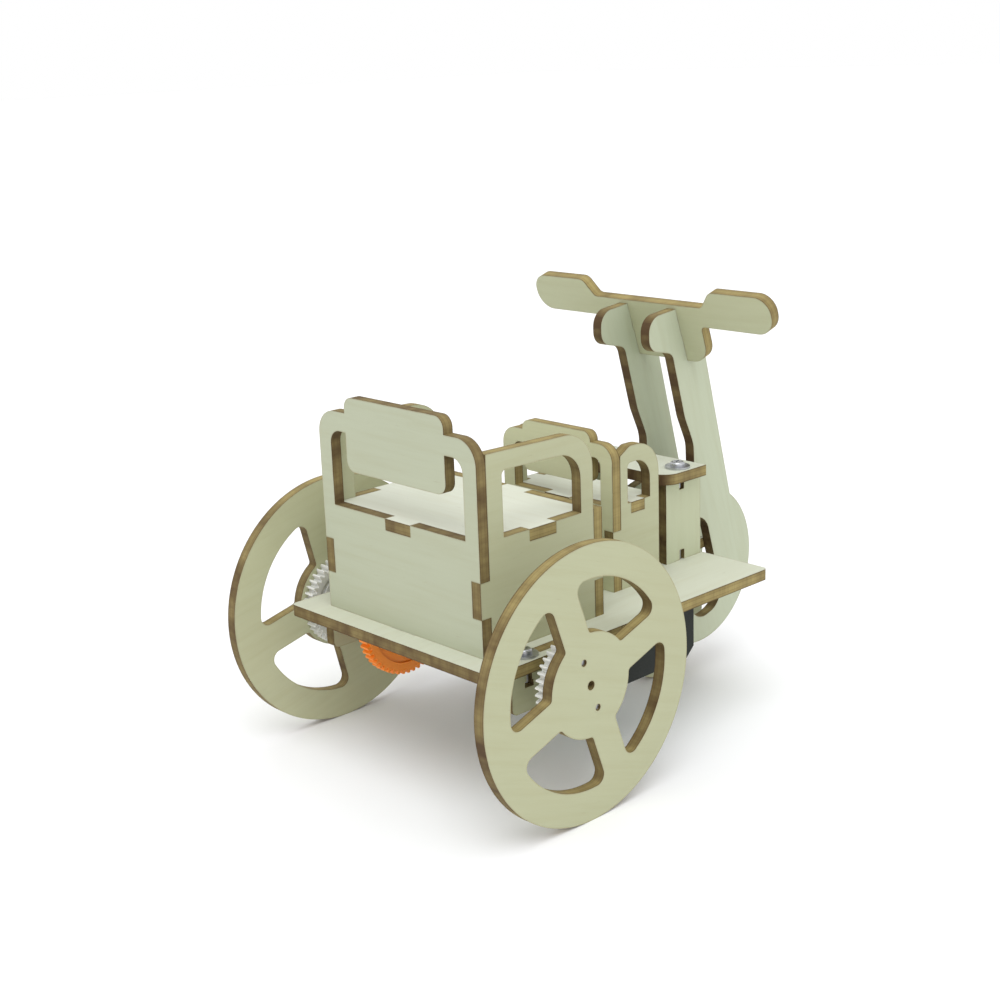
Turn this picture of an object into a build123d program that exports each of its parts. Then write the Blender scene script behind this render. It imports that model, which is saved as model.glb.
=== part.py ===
from build123d import *
import os
from math import radians, degrees, sin, cos, tan, sqrt, pi, acos, atan2, hypot

os.makedirs("parts", exist_ok=True)

# ---------------------------------------------------------------------------
# Laser-cut plywood motor tricycle (passenger rickshaw) from a science kit.
# Millimetres, +X forward, +Y left, +Z up, resting plane at z = 0.
# Lengths along X are measured from the rear axle; AX places the rear axle so
# that the origin is the middle of the whole footprint.
# ---------------------------------------------------------------------------
AX = -33.525            # rear axle from the origin, along X
T = 2.7                 # plywood sheet thickness
GAP = 0.05              # fit of a tab in its slot, per side

# rear wheels and axle
WHEEL_R = 31.0
WHEEL_OUT = 43.96       # outer face of a rear wheel, from the centre plane
WHEEL_IN = WHEEL_OUT - T
RIM_IN = 23.5           # inner radius of the rim
HUB_R = 11.75           # radius of the hub disc
SPOKE_W = 7.5
SPOKE_RIGHT = 19.5      # angle of a spoke at rest, right wheel
SPOKE_LEFT = 13.5       # the same for the left wheel
AXLE_Z = WHEEL_R
AXLE_D = 2.0
AXLE_BORE = 2.12        # running bore in the brackets
HUB_SCREW_R = 5.93

# deck
DECK_BACK, DECK_FRONT = -19.55, 73.2
DECK_HALF = 34.2
DECK_TOP = 36.27
DECK_BOT = DECK_TOP - T
TONGUE_HALF, TONGUE_FRONT = 6.3, 83.5

# passenger box
PB_BACK, PB_FRONT = -14.0, 23.3
PB_HALF = 26.1
SEAT_Z = 61.62
PB_TAB_Z = (44.98, 53.09)

# driver box
DB_BACK, DB_FRONT = 35.58, 51.7
DB_PANEL = 48.7                # rear face of the driver box front panel
DB_HALF = 18.05
DSEAT_Z = 57.0
DB_TAB_Z = (47.0, 51.0)
DS_TAB = (42.0, 46.6)           # seat tab in the driver box sides, along X
DS_WIN = ((40.8, 57.0), (48.6, 57.0), (48.6, 66.9), (40.8, 66.6))

# front column, fork and handlebar
COL_BACK, COL_FRONT = 59.35, 72.28
COL_HALF = 13.77
COL_TOP = 57.0
CAP_HALF, CAP_BACK, CAP_FRONT = 16.2, 56.8, 71.6
FORK_IN, FORK_OUT = 6.45, 9.15
DISC_X, DISC_Z, DISC_R = 77.4, 30.6, 20.65
RAKE = 16.0
BAR_TILT = 18.0
BAR_X, BAR_Z = 73.1, 84.4      # lower edge of the handlebar's rear face

# front wheel
FW_R, FW_X = 16.0, 72.0
FW_Z = FW_R

# gears, module 0.5
MOD = 0.5
N_DRIVE, N_PINION, N_HUB = 50, 10, 42
GEAR_Y = (15.2, 18.0)
MOTOR_Z = DECK_TOP + 7.6
GEAR_TIP = MOD * N_DRIVE / 2 + 0.3
CENTRES = MOD * (N_DRIVE + N_PINION) / 2
MOTOR_X = sqrt(CENTRES ** 2 - (MOTOR_Z - AXLE_Z) ** 2)
MESH = degrees(atan2(MOTOR_Z - AXLE_Z, MOTOR_X))

# battery holder
BAT_X = (20.4, 51.6)
BAT_HALF = 28.8
BAT_BOT = 18.6


def side(y):
    """Plane normal to Y at y: sketch x = X from the rear axle, sketch y = Z."""
    return Plane(origin=(AX, y, 0), x_dir=(1, 0, 0), z_dir=(0, -1, 0))


def cross(x):
    """Plane normal to X at x: sketch x = Y, sketch y = Z."""
    return Plane(origin=(AX + x, 0, 0), x_dir=(0, 1, 0), z_dir=(1, 0, 0))


def level(z):
    """Plane normal to Z: sketch x = X from the rear axle, sketch y = Y."""
    return Plane(origin=(AX, 0, z), x_dir=(1, 0, 0), z_dir=(0, 0, 1))


def corner(sk, x, y):
    """The sketch vertex nearest to (x, y)."""
    return sk.vertices().sort_by_distance((x, y, 0))[0]


def gear_points(n, centre=(0, 0), phase=0.0, addendum=1.0, dedendum=1.25, thin=0.05):
    """Involute outline of a spur gear, a tooth centred at phase degrees."""
    rp = MOD * n / 2
    rb = rp * cos(radians(20))
    ra, rr = rp + addendum * MOD, rp - dedendum * MOD
    inv = lambda a: tan(a) - a
    half = pi / (2 * n) - thin / (2 * rp)
    r0 = max(rb, rr)
    radii = [r0 + (ra - r0) * k / 4 for k in range(5)]
    ang = [half + inv(radians(20)) - inv(acos(min(1, rb / r))) for r in radii]
    pts = []
    for i in range(n):
        c = radians(phase) + 2 * pi * i / n
        flank = []
        if rr < rb:
            flank.append((rr, ang[0]))
        flank += list(zip(radii, ang))
        for r, a in flank:
            pts.append((r, c - a))
        for r, a in reversed(flank):
            pts.append((r, c + a))
    return [(centre[0] + r * cos(a), centre[1] + r * sin(a)) for r, a in pts]


# ---------------------------------------------------------------------------
# Deck
# ---------------------------------------------------------------------------
BR_Y = 30.5                       # middle plane of an axle bracket
BR_TAB = (-2.8, 8.2)
SCREW_BR = -6.3
SHANK = 1.6                       # self-tapping screws in the plates
SCREW_COL = 65.2
COL_SLOT = 2.6                    # depth of the screw slots in the column sides
FORK_STOP = 64.4                  # bottom of the deck's fork slots
COL_TAB = (60.0, 62.6)

with BuildPart() as base_plate:
    with BuildSketch(level(DECK_BOT)) as s:
        with Locations(((DECK_BACK + DECK_FRONT) / 2, 0)):
            RectangleRounded(DECK_FRONT - DECK_BACK, 2 * DECK_HALF, 1.4)
        with Locations(((DECK_FRONT + TONGUE_FRONT) / 2 - 1, 0)):
            Rectangle(TONGUE_FRONT - DECK_FRONT + 2, 2 * TONGUE_HALF)
        # fork slots, open at the front edge
        for sy in (1, -1):
            with Locations(((FORK_STOP + DECK_FRONT + 1) / 2, sy * (FORK_IN + FORK_OUT) / 2)):
                Rectangle(DECK_FRONT + 1 - FORK_STOP, T + 2 * GAP, mode=Mode.SUBTRACT)
            with Locations(((BR_TAB[0] + BR_TAB[1]) / 2, sy * BR_Y)):
                Rectangle(BR_TAB[1] - BR_TAB[0] + 2 * GAP, T + 2 * GAP, mode=Mode.SUBTRACT)
            with Locations(((COL_TAB[0] + COL_TAB[1]) / 2, sy * (COL_HALF - T / 2))):
                Rectangle(COL_TAB[1] - COL_TAB[0] + 2 * GAP, T + 2 * GAP, mode=Mode.SUBTRACT)
        # drive gear slot
        with Locations((0, sum(GEAR_Y) / 2)):
            SlotOverall(26.4, 4.0, mode=Mode.SUBTRACT)
        with Locations((0, sum(GEAR_Y) / 2)):
            Rectangle(26.0, 3.6, mode=Mode.SUBTRACT)
        # slots of the panels that stand on the deck
        for x in (PB_BACK + T / 2, PB_FRONT - T / 2, DB_BACK + T / 2, DB_PANEL + T / 2):
            with Locations((x, 0)):
                Rectangle(T + 2 * GAP, 8 + 2 * GAP, mode=Mode.SUBTRACT)
        # motor clip slots
        for x in (MOTOR_X - 10.9, MOTOR_X + 10.9):
            with Locations((x, -2)):
                Rectangle(1.7, 8.1, mode=Mode.SUBTRACT)
        # screw holes
        with Locations((SCREW_BR, BR_Y), (SCREW_BR, -BR_Y), (SCREW_COL, COL_HALF - T / 2), (SCREW_COL, -COL_HALF + T / 2)):
            Circle(SHANK / 2 + 0.05, mode=Mode.SUBTRACT)
        with Locations((36, 12), (36, -12)):
            Circle(0.75, mode=Mode.SUBTRACT)
        # lead hole under the passenger seat
        with Locations((14, -18)):
            Circle(2.5, mode=Mode.SUBTRACT)
    extrude(amount=T)
base_plate.part.label = "base_plate"
export_step(base_plate.part, "parts/base_plate.step")

# ---------------------------------------------------------------------------
# Axle brackets under the deck
# ---------------------------------------------------------------------------
def bracket_outline():
    """Bracket below the deck with its tab, axle bore and T-slot for the screw."""
    with BuildSketch() as s:
        with BuildLine():
            Polyline(
                (-11.5, DECK_BOT), (BR_TAB[0], DECK_BOT), (BR_TAB[0], DECK_TOP), (BR_TAB[1], DECK_TOP),
                (BR_TAB[1], DECK_BOT), (13.5, DECK_BOT), (13.5, 24.0), (-11.5, 24.0), close=True)
        make_face()
        fillet([corner(s, 13.5, 24.0), corner(s, -11.5, 24.0)], 1.5)
        with Locations((0, AXLE_Z)):
            Circle(AXLE_BORE / 2, mode=Mode.SUBTRACT)
        with Locations((SCREW_BR, (DECK_BOT + 29.4) / 2)):
            Rectangle(SHANK + 0.1, DECK_BOT - 29.4, mode=Mode.SUBTRACT)
        with Locations((SCREW_BR, 30.1)):
            Rectangle(2.5, 1.4, mode=Mode.SUBTRACT)
    return s.sketch


with BuildPart() as axle_bracket_left:
    with BuildSketch(side(BR_Y + T / 2)):
        add(bracket_outline())
    extrude(amount=T)
axle_bracket_left.part.label = "axle_bracket_left"
export_step(axle_bracket_left.part, "parts/axle_bracket_left.step")

with BuildPart() as axle_bracket_right:
    with BuildSketch(side(-BR_Y + T / 2)):
        add(bracket_outline())
    extrude(amount=T)
axle_bracket_right.part.label = "axle_bracket_right"
export_step(axle_bracket_right.part, "parts/axle_bracket_right.step")

# ---------------------------------------------------------------------------
# Rear axle, wheels, hub gears, their screws and the drive gear
# ---------------------------------------------------------------------------
AXLE_HALF = 42.6
with BuildPart() as rear_axle:
    with BuildSketch(side(AXLE_HALF)):
        with Locations((0, AXLE_Z)):
            Circle(AXLE_D / 2)
    extrude(amount=2 * AXLE_HALF)
    chamfer(rear_axle.edges().filter_by(GeomType.CIRCLE), 0.25)
rear_axle.part.label = "rear_axle"
export_step(rear_axle.part, "parts/rear_axle.step")


def wheel_windows(rim_in, hub_r, spoke_w, spoke, centre, r_out, r_in):
    """Four windows between four parallel-sided spokes, corners rounded."""
    with BuildSketch(Plane.XY, mode=Mode.PRIVATE) as w:
        Circle(rim_in)
        Circle(hub_r, mode=Mode.SUBTRACT)
        for k in (0, 90):
            Rectangle(2 * rim_in + 2, spoke_w, rotation=spoke + k, mode=Mode.SUBTRACT)
        outer = [v for v in w.vertices() if hypot(v.X, v.Y) > (rim_in + hub_r) / 2]
        fillet(outer, r_out)
        inner = [v for v in w.vertices() if hypot(v.X, v.Y) < hub_r + 0.3]
        fillet(inner, r_in)
    return w.sketch.moved(Location((centre[0], centre[1], 0)))


def hub_screw_spots(spoke):
    return [(HUB_SCREW_R * cos(radians(spoke + a)), AXLE_Z + HUB_SCREW_R * sin(radians(spoke + a))) for a in (90, 270)]


def rear_wheel_sketch(spoke):
    with BuildSketch() as s:
        with Locations((0, AXLE_Z)):
            Circle(WHEEL_R)
            Circle(AXLE_D / 2 + 0.01, mode=Mode.SUBTRACT)
        with Locations(*hub_screw_spots(spoke)):
            Circle(0.76, mode=Mode.SUBTRACT)
        add(wheel_windows(RIM_IN, HUB_R, SPOKE_W, spoke, (0, AXLE_Z), 2.2, 0.9), mode=Mode.SUBTRACT)
    return s.sketch


with BuildPart() as rear_wheel_right:
    with BuildSketch(side(-WHEEL_IN)):
        add(rear_wheel_sketch(SPOKE_RIGHT))
    extrude(amount=T)
rear_wheel_right.part.label = "rear_wheel_right"
export_step(rear_wheel_right.part, "parts/rear_wheel_right.step")

with BuildPart() as rear_wheel_left:
    with BuildSketch(side(WHEEL_OUT)):
        add(rear_wheel_sketch(SPOKE_LEFT))
    extrude(amount=T)
rear_wheel_left.part.label = "rear_wheel_left"
export_step(rear_wheel_left.part, "parts/rear_wheel_left.step")

HG_T = 3.0               # face width of a hub gear
BOSS_IN = 32.15          # inner end of a hub gear's boss


def hub_gear_sketch(spoke):
    with BuildSketch() as s:
        with BuildLine():
            Polyline(*gear_points(N_HUB, (0, AXLE_Z), spoke), close=True)
        make_face()
        with Locations((0, AXLE_Z)):
            Circle(AXLE_D / 2 + 0.01, mode=Mode.SUBTRACT)
        with Locations(*hub_screw_spots(spoke)):
            Circle(0.76, mode=Mode.SUBTRACT)
    return s.sketch


with BuildPart() as hub_gear_right:
    with BuildSketch(side(-WHEEL_IN + HG_T)):
        add(hub_gear_sketch(SPOKE_RIGHT))
    extrude(amount=HG_T)
    with BuildSketch(side(-BOSS_IN)):
        with Locations((0, AXLE_Z)):
            Circle(2.3)
            Circle(AXLE_D / 2 + 0.01, mode=Mode.SUBTRACT)
    extrude(amount=WHEEL_IN - HG_T - BOSS_IN)
    # shallow web recess in the inner face
    with BuildSketch(side(-WHEEL_IN + HG_T)):
        with Locations((0, AXLE_Z)):
            Circle(8.6)
            Circle(7.3, mode=Mode.SUBTRACT)
    extrude(amount=0.9, mode=Mode.SUBTRACT)
hub_gear_right.part.label = "hub_gear_right"
export_step(hub_gear_right.part, "parts/hub_gear_right.step")

with BuildPart() as hub_gear_left:
    with BuildSketch(side(WHEEL_IN)):
        add(hub_gear_sketch(SPOKE_LEFT))
    extrude(amount=HG_T)
    with BuildSketch(side(WHEEL_IN - HG_T)):
        with Locations((0, AXLE_Z)):
            Circle(2.3)
            Circle(AXLE_D / 2 + 0.01, mode=Mode.SUBTRACT)
    extrude(amount=WHEEL_IN - HG_T - BOSS_IN)
    with BuildSketch(side(WHEEL_IN - HG_T + 0.9)):
        with Locations((0, AXLE_Z)):
            Circle(8.6)
            Circle(7.3, mode=Mode.SUBTRACT)
    extrude(amount=0.9, mode=Mode.SUBTRACT)
hub_gear_left.part.label = "hub_gear_left"
export_step(hub_gear_left.part, "parts/hub_gear_left.step")


HS_IN = WHEEL_IN - HG_T          # plane under the screw heads
with BuildPart() as hub_screws:
    with BuildSketch(side(-HS_IN)):
        with Locations(*hub_screw_spots(SPOKE_RIGHT)):
            Circle(0.75)
    extrude(amount=5.2)
    with BuildSketch(side(-HS_IN + 0.9)):
        with Locations(*hub_screw_spots(SPOKE_RIGHT)):
            Circle(1.4)
    extrude(amount=0.9)
    with BuildSketch(side(HS_IN + 5.2)):
        with Locations(*hub_screw_spots(SPOKE_LEFT)):
            Circle(0.75)
    extrude(amount=5.2)
    with BuildSketch(side(HS_IN)):
        with Locations(*hub_screw_spots(SPOKE_LEFT)):
            Circle(1.4)
    extrude(amount=0.9)
hub_screws.part.label = "hub_screws"
export_step(hub_screws.part, "parts/hub_screws.step")

with BuildPart() as drive_gear:
    with BuildSketch(side(GEAR_Y[1])):
        with BuildLine():
            Polyline(*gear_points(N_DRIVE, (0, AXLE_Z), MESH, addendum=0.6), close=True)
        make_face()
        with Locations((0, AXLE_Z)):
            Circle(AXLE_D / 2 + 0.01, mode=Mode.SUBTRACT)
    extrude(amount=GEAR_Y[1] - GEAR_Y[0])
    with BuildSketch(side(GEAR_Y[0])):
        with Locations((0, AXLE_Z)):
            Circle(2.2)
            Circle(AXLE_D / 2 + 0.01, mode=Mode.SUBTRACT)
    extrude(amount=2.2)
    # dished web on both faces
    for y0 in (GEAR_Y[0] + 0.6, GEAR_Y[1]):
        with BuildSketch(side(y0)):
            with Locations((0, AXLE_Z)):
                Circle(10.0)
                Circle(3.6, mode=Mode.SUBTRACT)
        extrude(amount=0.6, mode=Mode.SUBTRACT)
drive_gear.part.label = "drive_gear"
export_step(drive_gear.part, "parts/drive_gear.step")

# ---------------------------------------------------------------------------
# Motor inside the passenger box
# ---------------------------------------------------------------------------
CAN_Y = (-12.7, 12.3)
with BuildPart() as motor_can:
    with BuildSketch(side(CAN_Y[1])) as s:
        with Locations((MOTOR_X, MOTOR_Z)):
            Circle(10.0)
            Rectangle(20.4, 15.1, mode=Mode.INTERSECT)
            Circle(3.1, mode=Mode.SUBTRACT)
    extrude(amount=CAN_Y[1] - CAN_Y[0] - 1.2)
    # hollow behind the front plate, where the rotor turns
    with BuildSketch(side(CAN_Y[1] - 1.0)):
        with Locations((MOTOR_X, MOTOR_Z)):
            Circle(9.2)
            Rectangle(18.8, 13.5, mode=Mode.INTERSECT)
    extrude(amount=30, mode=Mode.SUBTRACT)
motor_can.part.label = "motor_can"
export_step(motor_can.part, "parts/motor_can.step")

with BuildPart() as motor_bearing:
    with BuildSketch(side(CAN_Y[1] + 1.4)):
        with Locations((MOTOR_X, MOTOR_Z)):
            Circle(3.05)
            Circle(1.05, mode=Mode.SUBTRACT)
    extrude(amount=2.4)
motor_bearing.part.label = "motor_bearing"
export_step(motor_bearing.part, "parts/motor_bearing.step")

with BuildPart() as motor_end_cap:
    with BuildSketch(side(CAN_Y[0] + 1.2)):
        with Locations((MOTOR_X, MOTOR_Z)):
            Circle(10.0)
            Rectangle(20.4, 15.1, mode=Mode.INTERSECT)
    extrude(amount=1.2)
    with BuildSketch(side(CAN_Y[0] + 3.2)):
        with Locations((MOTOR_X, MOTOR_Z)):
            Circle(9.15)
            Rectangle(18.7, 13.4, mode=Mode.INTERSECT)
    extrude(amount=2.0)
    with BuildSketch(side(CAN_Y[0])):
        with Locations((MOTOR_X, MOTOR_Z)):
            Circle(2.6)
    extrude(amount=1.3)
    # shaft bore, open to the inside
    with BuildSketch(side(CAN_Y[0] + 3.2)):
        with Locations((MOTOR_X, MOTOR_Z)):
            Circle(1.05)
    extrude(amount=3.6, mode=Mode.SUBTRACT)
    # lead terminals
    with BuildSketch(side(CAN_Y[0])):
        with Locations((MOTOR_X - 6.5, MOTOR_Z), (MOTOR_X + 6.5, MOTOR_Z)):
            Rectangle(0.5, 2.2)
    extrude(amount=3.0)
motor_end_cap.part.label = "motor_end_cap"
export_step(motor_end_cap.part, "parts/motor_end_cap.step")

with BuildPart() as motor_rotor:
    with BuildSketch(side(19.4)):
        with Locations((MOTOR_X, MOTOR_Z)):
            Circle(1.0)
    extrude(amount=19.4 - (CAN_Y[0] + 0.2))
    with BuildSketch(side(7.0)):
        with Locations((MOTOR_X, MOTOR_Z)):
            Circle(4.4)
    extrude(amount=9.0)
motor_rotor.part.label = "motor_rotor"
export_step(motor_rotor.part, "parts/motor_rotor.step")

with BuildPart() as motor_pinion:
    with BuildSketch(side(18.9)):
        with BuildLine():
            Polyline(*gear_points(N_PINION, (MOTOR_X, MOTOR_Z), MESH + 180 + 180 / N_PINION), close=True)
        make_face()
        with Locations((MOTOR_X, MOTOR_Z)):
            Circle(1.01, mode=Mode.SUBTRACT)
    extrude(amount=4.6)
motor_pinion.part.label = "motor_pinion"
export_step(motor_pinion.part, "parts/motor_pinion.step")

with BuildPart() as motor_clip:
    with BuildSketch(side(2.0)) as s:
        with BuildLine():
            Polyline(
                (MOTOR_X - 11.7, DECK_BOT), (MOTOR_X - 10.1, DECK_BOT), (MOTOR_X - 10.1, MOTOR_Z + 7.6),
                (MOTOR_X + 10.1, MOTOR_Z + 7.6), (MOTOR_X + 10.1, DECK_BOT), (MOTOR_X + 11.7, DECK_BOT),
                (MOTOR_X + 11.7, MOTOR_Z + 9.2), (MOTOR_X - 11.7, MOTOR_Z + 9.2), close=True)
        make_face()
        fillet([corner(s, MOTOR_X - 11.7, MOTOR_Z + 9.2), corner(s, MOTOR_X + 11.7, MOTOR_Z + 9.2)], 2.4)
        fillet([corner(s, MOTOR_X - 10.1, MOTOR_Z + 7.6), corner(s, MOTOR_X + 10.1, MOTOR_Z + 7.6)], 0.8)
    extrude(amount=8.0)
motor_clip.part.label = "motor_clip"
export_step(motor_clip.part, "parts/motor_clip.step")

# ---------------------------------------------------------------------------
# Battery holder, cells, contacts, screws and switch, all under the deck
# ---------------------------------------------------------------------------
BX = sum(BAT_X) / 2
CELL_R, CELL_X, CELL_Z = 7.05, 7.2, 24.6
with BuildPart() as battery_holder:
    with BuildSketch(level(DECK_BOT - 1.5)):
        with Locations((BX, 0)):
            RectangleRounded(BAT_X[1] - BAT_X[0], 2 * BAT_HALF, 0.6)
    extrude(amount=1.5)
    # long side walls
    for x in (BAT_X[0] + 0.6, BAT_X[1] - 0.6):
        with BuildSketch(level(23.5)):
            with Locations((x, 0)):
                Rectangle(1.2, 2 * BAT_HALF - 1.0)
        extrude(amount=DECK_BOT - 1.0 - 23.5)
    # end walls with clipped lower corners
    for y0 in (BAT_HALF, -BAT_HALF + 1.6):
        with BuildSketch(side(y0)) as s:
            with BuildLine():
                Polyline(
                    (BAT_X[0], DECK_BOT - 0.5), (BAT_X[1], DECK_BOT - 0.5), (BAT_X[1], BAT_BOT + 2.6), (BAT_X[1] - 2.8, BAT_BOT),
                    (BAT_X[0] + 2.8, BAT_BOT), (BAT_X[0], BAT_BOT + 2.6), close=True)
            make_face()
        extrude(amount=1.6)
    # low rib between the two cells
    with BuildSketch(level(DECK_BOT - 3.4)):
        with Locations((BX, 0)):
            Rectangle(1.0, 18)
    extrude(amount=2.0)
    with BuildSketch(level(DECK_BOT - 2.0)):
        with Locations((BX, 12), (BX, -12)):
            Circle(0.95)
    extrude(amount=3.0, mode=Mode.SUBTRACT)
battery_holder.part.label = "battery_holder"
export_step(battery_holder.part, "parts/battery_holder.step")

with BuildPart() as battery_cells:
    for x, flip in ((BX - CELL_X, 1), (BX + CELL_X, -1)):
        y0, y1 = -24.3 * flip, 24.3 * flip
        with BuildSketch(side(24.3)):
            with Locations((x, CELL_Z)):
                Circle(CELL_R)
        extrude(amount=48.6)
        with BuildSketch(side(25.2 if flip > 0 else -24.2)):
            with Locations((x, CELL_Z)):
                Circle(2.6)
        extrude(amount=1.0)
    fillet(battery_cells.edges().filter_by(GeomType.CIRCLE).filter_by(lambda e: e.radius > 6), 0.4)
battery_cells.part.label = "battery_cells"
export_step(battery_cells.part, "parts/battery_cells.step")

with BuildPart() as battery_contacts:
    for x, flip in ((BX - CELL_X, 1), (BX + CELL_X, -1)):
        # flat plate at the positive end
        with BuildSketch(side(27.15 if flip > 0 else -26.65)):
            with Locations((x, CELL_Z)):
                Rectangle(9.0, 8.0)
        extrude(amount=0.5)
        with BuildSketch(side(26.65 if flip > 0 else -25.25)):
            with Locations((x, CELL_Z)):
                Circle(1.6)
        extrude(amount=1.4)
        # spring at the negative end: plate and a stepped cone
        with BuildSketch(side(-26.65 if flip > 0 else 27.15)):
            with Locations((x, CELL_Z)):
                Rectangle(9.0, 8.0)
        extrude(amount=0.5)
        for r, a, b in ((3.6, 0.0, 0.8), (2.9, 0.8, 1.5), (2.2, 1.5, 2.3)):
            y_hi = (-26.65 + b) if flip > 0 else (26.65 - a)
            with BuildSketch(side(y_hi)):
                with Locations((x, CELL_Z)):
                    Circle(r)
                    Circle(r - 1.0, mode=Mode.SUBTRACT)
            extrude(amount=b - a)
battery_contacts.part.label = "battery_contacts"
export_step(battery_contacts.part, "parts/battery_contacts.step")

with BuildPart() as battery_screws:
    with BuildSketch(level(DECK_BOT - 1.5)):
        with Locations((BX, 12), (BX, -12)):
            Circle(0.7)
    extrude(amount=3.9)
    with BuildSketch(level(DECK_BOT - 2.7)):
        with Locations((BX, 12), (BX, -12)):
            Circle(1.7)
    extrude(amount=1.2)
battery_screws.part.label = "battery_screws"
export_step(battery_screws.part, "parts/battery_screws.step")

SW_X, SW_Y = 58.0, 23.0
with BuildPart() as switch_body:
    with BuildSketch(level(DECK_BOT - 3.7)):
        with Locations((SW_X, SW_Y)):
            RectangleRounded(3.7, 8.6, 0.3)
    extrude(amount=3.7)
    with BuildSketch(level(DECK_BOT - 4.0)):
        with Locations((SW_X, SW_Y)):
            Rectangle(1.7, 4.4)
    extrude(amount=2.0, mode=Mode.SUBTRACT)
switch_body.part.label = "switch_body"
export_step(switch_body.part, "parts/switch_body.step")

with BuildPart() as switch_knob:
    with BuildSketch(level(DECK_BOT - 5.4)):
        with Locations((SW_X, SW_Y - 1.0)):
            Rectangle(1.4, 2.0)
    extrude(amount=3.2)
    chamfer(switch_knob.faces().sort_by(Axis.Z)[0].edges(), 0.2)
switch_knob.part.label = "switch_knob"
export_step(switch_knob.part, "parts/switch_knob.step")

# ---------------------------------------------------------------------------
# Passenger box: back with head pad, two sides with arm rails, front, seat
# ---------------------------------------------------------------------------
with BuildPart() as passenger_back:
    with BuildSketch(cross(PB_BACK)) as s:
        with BuildLine():
            Polyline(
                (-PB_HALF, DECK_TOP), (-4.0, DECK_TOP), (-4.0, DECK_BOT), (4.0, DECK_BOT), (4.0, DECK_TOP),
                (PB_HALF, DECK_TOP), (PB_HALF, 83.6), (-PB_HALF, 83.6), close=True)
        make_face()
        fillet([corner(s, PB_HALF, 83.6), corner(s, -PB_HALF, 83.6)], 5.6)
        # window behind the seat
        with BuildSketch(mode=Mode.SUBTRACT) as w:
            with Locations((0, (SEAT_Z + 79.2) / 2)):
                Rectangle(44.0, 79.2 - SEAT_Z)
            fillet([corner(w, 22, 79.2), corner(w, -22, 79.2)], 3.2)
        # head pad
        with BuildSketch() as p:
            with Locations((0, (70.4 + 87.4) / 2)):
                RectangleRounded(33.0, 87.4 - 70.4, 2.6)
        # notch of the seat tab, finger notches of the sides
        with Locations((0, SEAT_Z - T / 2)):
            Rectangle(8.34 + 2 * GAP, T, mode=Mode.SUBTRACT)
        with Locations((PB_HALF - T / 2, sum(PB_TAB_Z) / 2), (-PB_HALF + T / 2, sum(PB_TAB_Z) / 2)):
            Rectangle(T + 2 * GAP, PB_TAB_Z[1] - PB_TAB_Z[0] + 2 * GAP, mode=Mode.SUBTRACT)
    extrude(amount=T)
    # shallow relief in the inner face where the drive gear turns
    with BuildSketch(side(GEAR_Y[1] + 0.3)):
        with Locations((0, AXLE_Z)):
            Circle(GEAR_TIP + 0.3)
    extrude(amount=GEAR_Y[1] - GEAR_Y[0] + 0.6, mode=Mode.SUBTRACT)
passenger_back.part.label = "passenger_back"
export_step(passenger_back.part, "parts/passenger_back.step")

with BuildPart() as passenger_front:
    with BuildSketch(cross(PB_FRONT - T)) as s:
        with BuildLine():
            Polyline(
                (-PB_HALF, DECK_TOP), (-4.0, DECK_TOP), (-4.0, DECK_BOT), (4.0, DECK_BOT), (4.0, DECK_TOP),
                (PB_HALF, DECK_TOP), (PB_HALF, SEAT_Z), (-PB_HALF, SEAT_Z), close=True)
        make_face()
        with Locations((0, SEAT_Z - T / 2)):
            Rectangle(8.34 + 2 * GAP, T, mode=Mode.SUBTRACT)
        with Locations((PB_HALF - T / 2, sum(PB_TAB_Z) / 2), (-PB_HALF + T / 2, sum(PB_TAB_Z) / 2)):
            Rectangle(T + 2 * GAP, PB_TAB_Z[1] - PB_TAB_Z[0] + 2 * GAP, mode=Mode.SUBTRACT)
    extrude(amount=T)
passenger_front.part.label = "passenger_front"
export_step(passenger_front.part, "parts/passenger_front.step")


def passenger_side_sketch():
    x0, x1 = PB_BACK + T + GAP, PB_FRONT - T - GAP
    z0, z1 = PB_TAB_Z
    with BuildSketch() as s:
        with BuildLine():
            Polyline(
                (x0, DECK_TOP), (x1, DECK_TOP), (x1, z0), (PB_FRONT, z0), (PB_FRONT, z1), (x1, z1), (x1, 79.6),
                (12.0, 79.9), (x0, 80.4), (x0, z1), (PB_BACK, z1), (PB_BACK, z0), (x0, z0), close=True)
        make_face()
        fillet(corner(s, x1, 79.6), 8.4)
        with BuildSketch(mode=Mode.SUBTRACT) as w:
            with BuildLine():
                Polyline((-6.81, SEAT_Z), (16.7, SEAT_Z), (16.7, 75.6), (-6.81, 76.2), close=True)
            make_face()
            fillet(corner(w, 16.7, 75.6), 6.2)
            fillet(corner(w, -6.81, 76.2), 1.2)
        with Locations(((0.81 + 8.80) / 2, SEAT_Z - T / 2)):
            Rectangle(7.99 + 2 * GAP, T, mode=Mode.SUBTRACT)
    return s.sketch


with BuildPart() as passenger_side_left:
    with BuildSketch(side(PB_HALF)):
        add(passenger_side_sketch())
    extrude(amount=T)
passenger_side_left.part.label = "passenger_side_left"
export_step(passenger_side_left.part, "parts/passenger_side_left.step")

with BuildPart() as passenger_side_right:
    with BuildSketch(side(-PB_HALF + T)):
        add(passenger_side_sketch())
    extrude(amount=T)
passenger_side_right.part.label = "passenger_side_right"
export_step(passenger_side_right.part, "parts/passenger_side_right.step")

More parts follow.
